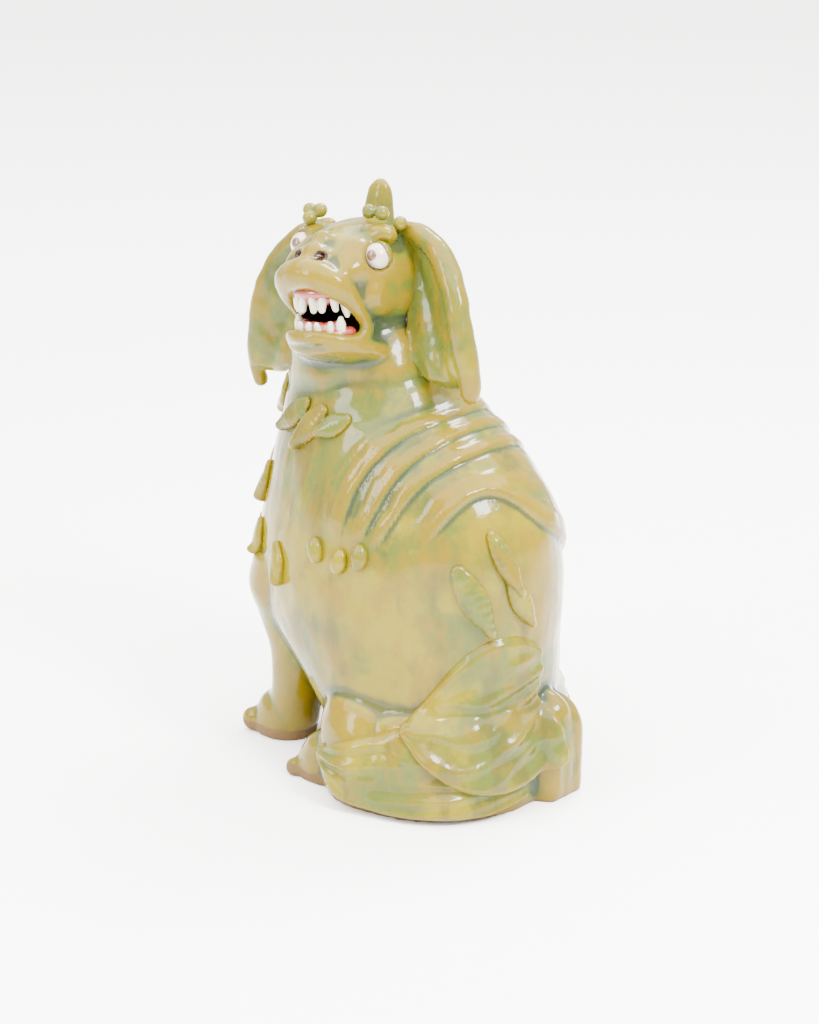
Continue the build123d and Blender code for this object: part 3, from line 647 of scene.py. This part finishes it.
for name, (side, roll_rows, root_rows) in EARS.items():
    form = bmesh.new()
    roll_rows = eased([(i, *row) for i, row in enumerate(roll_rows)], LOBE_ROWS)[:, 1:]
    root_rows = eased([(i, *row) for i, row in enumerate(root_rows)], LOBE_ROWS)[:, 1:]
    roll_route = in_head(SKULL, [(row[0], side * row[1], row[2]) for row in roll_rows[::3]])
    add_rope(form, roll_route, roll_rows[::3, 3], steps=60)
    # The lobe stops short of the roll's lower end, which hangs free.
    lobe_edge = roll_rows[np.linspace(0, 24, LOBE_ROWS).astype(int), :3]
    grid = []
    for root, rolled in zip(root_rows, lobe_edge):
        row = []
        for part in np.linspace(0, 1, LOBE_COLUMNS):
            forward, outward, up = root * (1 - part) + rolled * part
            sag = sin(pi * part)
            forward += -5 * sag + 1.5 * sin(part * 11 + up * 0.06) * sag
            up += -7 * sag * smooth(-up, 30, 50)
            row.append(form.verts.new(SKULL @ Vector((forward, side * outward, up))))
        grid.append(row)
    slab = sheet_faces(form, grid)
    bmesh.ops.recalc_face_normals(form, faces=slab)
    backed(form, slab, LOBE_THICKNESS)
    lower_rim = [v.co.copy() for v in grid[-1]][::3]
    add_rope(form, lower_rim, [RIM_RADIUS] * len(lower_rim))
    fired(form, f"{name}_ear", "glaze_ears", [f"{name}_ear"], voxel=1.5, soften=4, uneven=0.6)


# ---- Horn and brow curls: a flat tongue on the crown and rolled pellets on each brow ----
# The horn is a tongue of clay pinched flat; the pellets are rolled between the fingers.
form = bmesh.new()
HORN_OVALS = [                  # up, forward, left, radius forward, radius left
    (27, 0, 4, 11, 13.5), (33, 2, 4, 9, 12), (40, 4.5, 4.5, 7.5, 11),
    (48, 7.5, 5.5, 6.5, 9.5), (54, 10, 6.5, 5, 7.5), (58, 11.5, 7, 2, 3.5),
]
horn_frames = []
for up, forward, left, radius_forward, radius_left in eased(HORN_OVALS, 24):
    size = Matrix.Diagonal((max(radius_forward, 0.8), max(radius_left, 1), 1, 1))
    horn_frames.append(SKULL @ Matrix.Translation((forward, left, up)) @ size)
add_rings(form, horn_frames, 32)
fired(form, "horn", "glaze_face", ["horn"], voxel=0.9, soften=8, uneven=0.4)
BROW_CURLS = {                  # forward, outward, up
    "left": [(30, 19, 32), (28, 28, 31.5), (18, 36, 28)],
    "right": [(30, 22, 32), (30, 31, 32), (33, 27, 26)],
}
CURL_RADIUS, PRESSED_IN = 4.7, 0.6
for name, side in (("left", 1), ("right", -1)):
    form = bmesh.new()
    for forward, outward, up in BROW_CURLS[name]:
        add_lump(form, SKULL, (forward, side * outward, up - PRESSED_IN), [CURL_RADIUS] * 3)
    fired(form, f"{name}_brow_curls", "glaze_face", [f"{name}_brow_curls"], voxel=0.7, soften=2)


# ---- Eyes: a white ball in a deep socket, a brown disc of an iris and a half lid behind it ----
# The ball is rolled and pressed into the socket, the iris is a painted dab of slip on its front,
# and the lid is a thin cap of clay drawn over its back.
EYES = {                        # side, height of the centre in the skull, way the eye looks
    "left": (1, 3.0, (0.92, 0.20, 0.26)),
    "right": (-1, 9.0, (0.95, 0.05, 0.30)),
}
BALL_RADIUS, IRIS_REACH, IRIS_RADII = 8.3, 7.7, (3.3, 3.5, 1.2)
# The lid's outer skin, rim and inner skin: degrees from its middle, distance from the eye's centre.
LID_RINGS = [
    (10, 9.7), (30, 9.9), (50, 10.0), (66, 9.8), (74, 9.0), (66, 8.2), (50, 8.0), (30, 8.0), (10, 8.0),
]
for name, (side, up, gaze) in EYES.items():
    centre = SKULL @ Vector((28.5, side * 32, up))
    look = Vector(gaze).normalized()
    aim = look.to_track_quat("Z", "Y").to_matrix().to_4x4()
    form = bmesh.new()
    bmesh.ops.create_uvsphere(form, u_segments=40, v_segments=24, radius=BALL_RADIUS,
                              matrix=Matrix.Translation(centre) @ aim)
    ball = as_mesh(form, "ball")
    ball_spots, ball_normals, _ = read(ball)
    write(ball, ball_spots + ball_normals * (0.25 * waver(ball_spots, 6.0))[:, None])
    ball.shade_smooth()
    finished(ball, f"{name}_eyeball", "eye_white", [f"{name}_eyeball"])
    form = bmesh.new()
    iris_place = Matrix.Translation(centre + look * IRIS_REACH) @ aim
    bmesh.ops.create_uvsphere(form, u_segments=32, v_segments=16, radius=1,
                              matrix=iris_place @ Matrix.Diagonal((*IRIS_RADII, 1)))
    disc = as_mesh(form, "disc")
    disc.shade_smooth()
    finished(disc, f"{name}_iris", "iris_brown", [f"{name}_iris"])
    form = bmesh.new()
    rear = Vector((-0.88, side * 0.25, 0.25)).normalized()
    lid_place = Matrix.Translation(centre) @ rear.to_track_quat("Z", "Y").to_matrix().to_4x4()
    lid_frames = []
    for degrees, reach in LID_RINGS:
        lean = radians(degrees)
        ring = Matrix.Diagonal((reach * sin(lean), reach * sin(lean), 1, 1))
        lid_frames.append(lid_place @ Matrix.Translation((0, 0, reach * cos(lean))) @ ring)
    add_rings(form, lid_frames, 40)
    fired(form, f"{name}_eyelid", "glaze_face", [f"{name}_eyelid"], voxel=0.7, soften=2)


# ---- Gums and teeth: red ridges in the mouth with rolled white teeth pressed into them ----
# Each gum is a rope of clay bent round the arch, thickened behind. Each tooth is a small roll,
# blunt at the front of the mouth and longer and sharper at the four corners.
def on_arch(centre, angle, up, reach):
    """A point on the arch of a jaw, by its angle from straight ahead and its reach."""
    return MOUTH @ Vector((centre + reach * cos(radians(angle)), reach * sin(radians(angle)), up))


GUM_RADIUS, GUM_REACH, SWELL_REACH = 3.8, 18.5, 15.5
for jaw, centre, up, swell in (("upper", 39, -4.5, -3), ("lower", 40, -31.0, 3.5)):
    form = bmesh.new()
    angles = range(-85, 86, 10)
    gum_route = [on_arch(centre, angle, up, GUM_REACH) for angle in angles]
    add_rope(form, gum_route, [GUM_RADIUS] * len(angles), steps=70)
    for angle in range(-60, 61, 20):
        swelling = Matrix.Translation(on_arch(centre, angle, up + swell, SWELL_REACH))
        add_lump(form, swelling, (0, 0, 0), (4.4, 4.4, 5))
    fired(form, f"{jaw}_gum", "gum_red", [f"{jaw}_gum"], voxel=0.8, soften=2, uneven=0.5)
TEETH = {                       # jaw centre, height of the middle, length, radius, angles
    "upper_incisors": (39, -10.5, 8.5, 2.8, (52, 32, 11, -11, -32, -52)),
    "upper_canines": (39, -12.5, 14.5, 3.4, (74, -74)),
    "lower_incisors": (40, -27.2, 6.8, 2.4, (42, 21, 0, -21, -42)),
    "lower_canines": (40, -26.0, 9.5, 3.3, (62, -62)),
}
for name, (centre, middle, length, radius, angles) in TEETH.items():
    down = -1 if name.startswith("upper") else 1
    form = bmesh.new()
    thin = 0.55 if name.endswith("canines") else 0.8
    for count, angle in enumerate(angles):
        foot = on_arch(centre, angle, middle - down * length / 2, 19.2)
        tip = on_arch(centre, angle + (-3 if count % 2 else 2), middle + down * length / 2, 19.8)
        add_rope(form, [foot, foot.lerp(tip, 0.35), foot.lerp(tip, 0.7), tip],
                 [radius * 0.8, radius, radius * 0.92, radius * thin], segments=16, steps=14)
    fired(form, name, "tooth_white", [name], voxel=0.6, soften=2, uneven=0.2)


# ---- Tufts and pellets: leaf-shaped pats pressed on the throat, chest, rump and shoulders ----
# Each pat is a drop of clay pressed flat, with its tip left proud of the body.
polygons = [tuple(f.vertices) for f in body_mesh.polygons]
skin_tree = BVHTree.FromPolygons([Vector(p) for p in spots], polygons)
RIGHT_RUMP_TURN = 52            # degrees that the right rump's tufts sit further forward
TUFTS = {                       # root, tip, half width
    "collar_tufts": [
        ((56, -44, 248), (48, -64, 226), 7.0), ((60, -26, 246), (58, -42, 220), 7.0),
        ((58, -4, 246), (59, -22, 231), 6.0), ((24, -92, 250), (18, -99, 226), 7.0),
    ],
    "chest_tufts": [
        ((50, -92, 196), (48, -92, 172), 6.0), ((74, -52, 152), (76, -44, 131), 7.0),
        ((58, -85, 158), (56, -83, 134), 6.5), ((17, -110, 204), (17, -114, 182), 7.0),
        ((18, -114, 172), (18, -116, 150), 7.0), ((36, -106, 152), (36, -105, 130), 7.0),
    ],
    "rump_tufts": [
        ((50, 88, 160), (39, 103, 124), 8.0), ((31, 99, 181), (21, 110, 148), 6.0),
        ((24, 109, 150), (12, 113, 125), 6.0),
    ],
}
for name, pats in TUFTS.items():
    form = bmesh.new()
    for side in (1, -1):
        for root, tip, half in pats:
            degrees = RIGHT_RUMP_TURN if name == "rump_tufts" and side < 0 else 0
            around = Matrix.Rotation(radians(degrees), 3, "Z")
            start, out, _, _ = skin_tree.find_nearest(around @ Vector((side * root[0], *root[1:])))
            end = skin_tree.find_nearest(around @ Vector((side * tip[0], *tip[1:])))[0]
            along = (end - start).normalized()
            wide = along.cross(out).normalized()
            for part in np.linspace(0, 1, 9):
                near, out, _, _ = skin_tree.find_nearest(start.lerp(end, part))
                span = half * (0.85 + 0.7 * sin(pi * min(part * 1.1, 1)) - 0.25 * part**4)
                deep = 2.6 + 3.2 * part
                pat_frame = place(near + out * deep * 0.45, along, wide, along.cross(wide))
                pat_radii = ((end - start).length * 0.17, span * 0.85, deep)
                add_lump(form, pat_frame, (0, 0, 0), pat_radii, segments=16)
    fired(form, name, "glaze_pats", [name], voxel=1.0, soften=4, uneven=0.4)
# The pellets along the mane's edge are pressed on upright, each with a second, smaller one on it.
MANE_CURLS = [((78, -8, 161), 12), ((79, 13, 158), -8), ((76, 28, 164), 4)]     # spot, lean
for name, side in (("left", 1), ("right", -1)):
    form = bmesh.new()
    for spot, lean in MANE_CURLS:
        near, out, _, _ = skin_tree.find_nearest(Vector((side * spot[0], spot[1], spot[2])))
        up = (Vector((0, 0, 1)) - out * out.z).normalized()
        up = Matrix.Rotation(radians(side * lean), 3, out) @ up
        base = place(near + out * 2.0, out, up.cross(out), up)
        add_lump(form, base, (0, 0, 0), (4.6, 6.0, 8.8), segments=24)
        add_lump(form, base, (2.6, 0, 0.5), (2.6, 4.0, 6.2), segments=24)
    fired(form, f"{name}_mane_curls", "glaze_pats", [f"{name}_mane_curls"], voxel=0.9, soften=2,
          uneven=0.4)


# ---- Flaps: thin folded sheets of clay draped over each haunch ----
# Each sheet hangs from a gathered point in front and fans out towards the tail; its free edge
# stands a few millimetres off the body. The right flaps are drawn up narrower and flatter.
# Upper edge and lower edge as degrees round the haunch and height, thickness, fullness.
FLAPS = {
    "upper_flap": ([(22, 62), (34, 80), (47, 100), (60, 113), (72, 117), (84, 114), (94, 106)],
                   [(22, 58), (32, 41), (44, 25), (56, 17), (68, 15), (82, 18), (94, 27)], 4.5, 8.5),
    "lower_flap": ([(-17, 34), (-6, 44), (8, 53), (24, 60), (42, 52), (60, 40), (80, 30)],
                   [(-17, 28), (-9, 15), (2, 6), (16, 3), (36, 2.5), (58, 3.5), (80, 10)], 3.6, 6.0),
}
FLAP_COLUMNS, FLAP_ROWS = 90, 56
FLAP_AXIS = Vector((6, 36, 0))
CAST_FROM = 160                 # distance from the axis, well outside the body
LEFT_START, RIGHT_START = 22, 4     # degrees of the gathered point on either side
RIGHT_SQUEEZE, RIGHT_FLATTEN, LEAST_LIFT = 0.36, 0.6, 0.4
for name, (upper, lower, thick, full) in FLAPS.items():
    for word, side in (("left", 1), ("right", -1)):
        top_run = eased([(i, *row) for i, row in enumerate(upper)], FLAP_COLUMNS)[:, 1:]
        low_run = eased([(i, *row) for i, row in enumerate(lower)], FLAP_COLUMNS)[:, 1:]
        form = bmesh.new()
        rows = []
        for i, (top_row, low_row) in enumerate(zip(top_run, low_run)):
            along = i / (FLAP_COLUMNS - 1)
            row = []
            for j in range(FLAP_ROWS):
                part = j / (FLAP_ROWS - 1)
                angle, height = top_row * (1 - part) + low_row * part
                if side < 0:
                    angle = RIGHT_START + (angle - LEFT_START) * RIGHT_SQUEEZE
                angle = radians(angle)
                out = Vector((side * cos(angle), sin(angle), 0))
                start = Vector((side * FLAP_AXIS.x, FLAP_AXIS.y, height)) + out * CAST_FROM
                found = skin_tree.ray_cast(start, -out)[0]
                if found is None:
                    found = skin_tree.find_nearest(start - out * (CAST_FROM / 2))[0]
                # Soft pleats fan out from the gathered point, and the lower edge flares.
                rim = min(part, 1 - part, 0.5)
                wave = sin(part * full * 1.9 + 2.4 * along + 1.8 * sin(along * 6 + part * 3))
                pleat = 1.9 * (1 - abs(wave * smooth(along, 0.05, 0.4))) * smooth(rim, 0.0, 0.2)
                crumple = noise.noise(Vector((along * 5, part * 6, side + full))) * 3.0
                flare = full * 0.5 * smooth(part, 0.72, 0.97) * smooth(along, 0.0, 0.25)
                lift = thick * smooth(rim, 0.0, 0.06) + pleat + crumple * smooth(rim, 0.0, 0.15)
                lift += flare * (1 - 0.5 * smooth(part, 0.97, 1.0))
                lift *= 1 if side > 0 else RIGHT_FLATTEN
                row.append(form.verts.new(found + out * max(lift, LEAST_LIFT)))
            rows.append(row)
        sheet = sheet_faces(form, rows)
        bmesh.ops.recalc_face_normals(form, faces=sheet)
        middle = sheet[len(sheet) // 2]
        if middle.normal.dot(middle.calc_center_median() - Vector((0, 40, 50))) < 0:
            bmesh.ops.reverse_faces(form, faces=sheet)
        backed(form, sheet, thick + 2.5)
        fired(form, f"{word}_{name}", "glaze_flaps", [f"{word}_{name}"], voxel=1.1, soften=4,
              uneven=0.2)


# ---- The skin parted into the torso, neck, head, mane, limbs and tail ----
# Each face of the skin goes to the CAD piece it lies nearest, so the seams run where the maker
# joined the clay. Each part gets its wall behind the skin and keeps the whole skin's normals.
SLOTS = {
    "glaze_body": ["torso_shell", "neck_shell", "head_shell", "left_foreleg", "right_foreleg",
                   "left_haunch", "right_haunch", "tail"],
    "glaze_mane": ["mane_band_upper", "mane_band_middle", "mane_band_lower"],
    "glaze_paws": ["left_forepaw", "right_forepaw", "left_hind_paw", "right_hind_paw"],
    "glaze_face": ["upper_lip", "lower_lip", "lower_jaw", "nose", "left_brow", "right_brow"],
}
skin_nodes = [node for group in SLOTS.values() for node in group]
cad_points, cad_faces, cad_owners = [], [], []
for index, node in enumerate(skin_nodes):
    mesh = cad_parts[node].data
    first = len(cad_points)
    cad_points += [v.co / MM for v in mesh.vertices]
    cad_faces += [tuple(first + k for k in f.vertices) for f in mesh.polygons]
    cad_owners += [index] * len(mesh.polygons)
cad_tree = BVHTree.FromPolygons(cad_points, cad_faces)
spots, normals, edges = read(body_mesh)
pool = pooled(spots, normals, edges)

# Inside the mouth and the nostrils the surface is painted near-black brown: painted shade in these hollows.
from_middle = spots - np.array(MOUTH @ Vector(MOUTH_HOLLOW))
in_mouth = (np.array(MOUTH.inverted().to_3x3()) @ from_middle.T).T / np.array(MOUTH_RADII)
inner = smooth(np.linalg.norm(in_mouth, axis=1), 1.10, 1.02)
for side in (1, -1):
    nostril = np.array(SKULL @ Vector((55, side * 9.5, -6)))
    inner = np.maximum(inner, smooth(np.linalg.norm(spots - nostril, axis=1), 5.2, 4.2))

# Faces vote with their neighbours a few times, so that each part has one clean outline.
VOTING_ROUNDS = 8
centres = np.array([f.center for f in body_mesh.polygons])
label = np.array([cad_owners[cad_tree.find_nearest(Vector(c))[2]] for c in centres])
corner = np.array([p if len(p) == 4 else (*p, p[0]) for p in polygons])
for _ in range(VOTING_ROUNDS):
    votes = np.zeros((len(spots), len(skin_nodes)), np.float32)
    for k in range(4):
        np.add.at(votes, (corner[:, k], label), 1)
    label = sum(votes[corner[:, k]] for k in range(4)).argmax(1)

# The foot is open, so that the hollow can dry and fire: an oval with its middle behind the axis.
OPENING_HALF_WIDTH, OPENING_HALF_LENGTH, OPENING_MIDDLE = 61, 56, 38
facing = np.array([f.normal for f in body_mesh.polygons])
foot = (centres[:, 2] < 2.5) & (facing[:, 2] < -0.6)
foot &= (centres[:, 0] / OPENING_HALF_WIDTH) ** 2 \
    + ((centres[:, 1] - OPENING_MIDDLE) / OPENING_HALF_LENGTH) ** 2 < 1

WALLS = {"torso_shell": 8.0, "neck_shell": 6.0, "head_shell": 4.0}
THIN_WALL = 3.0
for slot, group in SLOTS.items():
    for node in group:
        chosen = np.flatnonzero((label == skin_nodes.index(node)) & ~foot)
        used = np.unique(corner[chosen])
        renumber = -np.ones(len(spots), int)
        renumber[used] = np.arange(len(used))
        form = bmesh.new()
        verts = [form.verts.new(p) for p in spots[used]]
        for face in chosen:
            form.faces.new([verts[renumber[v]] for v in polygons[face]])
        outward = {tuple(v.co): Vector(n) for v, n in zip(verts, normals[used])}
        walled(form, form.faces[:], outward, WALLS.get(node, THIN_WALL))
        bmesh.ops.recalc_face_normals(form, faces=form.faces)
        mesh = bpy.data.meshes.new(node)
        form.to_mesh(mesh)
        form.free()
        mesh.shade_smooth()
        # The points of the wall follow those of the skin, and are neither pooled nor inner.
        behind = len(mesh.vertices) - len(used)
        store(mesh, "pool", np.concatenate([pool[used], np.full(behind, 0.5)]))
        store(mesh, "inner", np.concatenate([inner[used], np.zeros(behind)]))
        # A corner on the skin takes the whole skin's normal; a zero leaves the mesh's own.
        corner_normals = np.zeros((len(mesh.loops), 3), np.float32)
        corner_vertex = np.empty(len(mesh.loops), np.int32)
        mesh.loops.foreach_get("vertex_index", corner_vertex)
        on_skin = np.zeros(len(mesh.loops), bool)
        for face in mesh.polygons:
            if max(face.vertices) < len(used):
                on_skin[face.loop_start:face.loop_start + face.loop_total] = True
        corner_normals[on_skin] = normals[used][corner_vertex[on_skin]]
        mesh.normals_split_custom_set(corner_normals)
        finished(mesh, node, slot, [node])
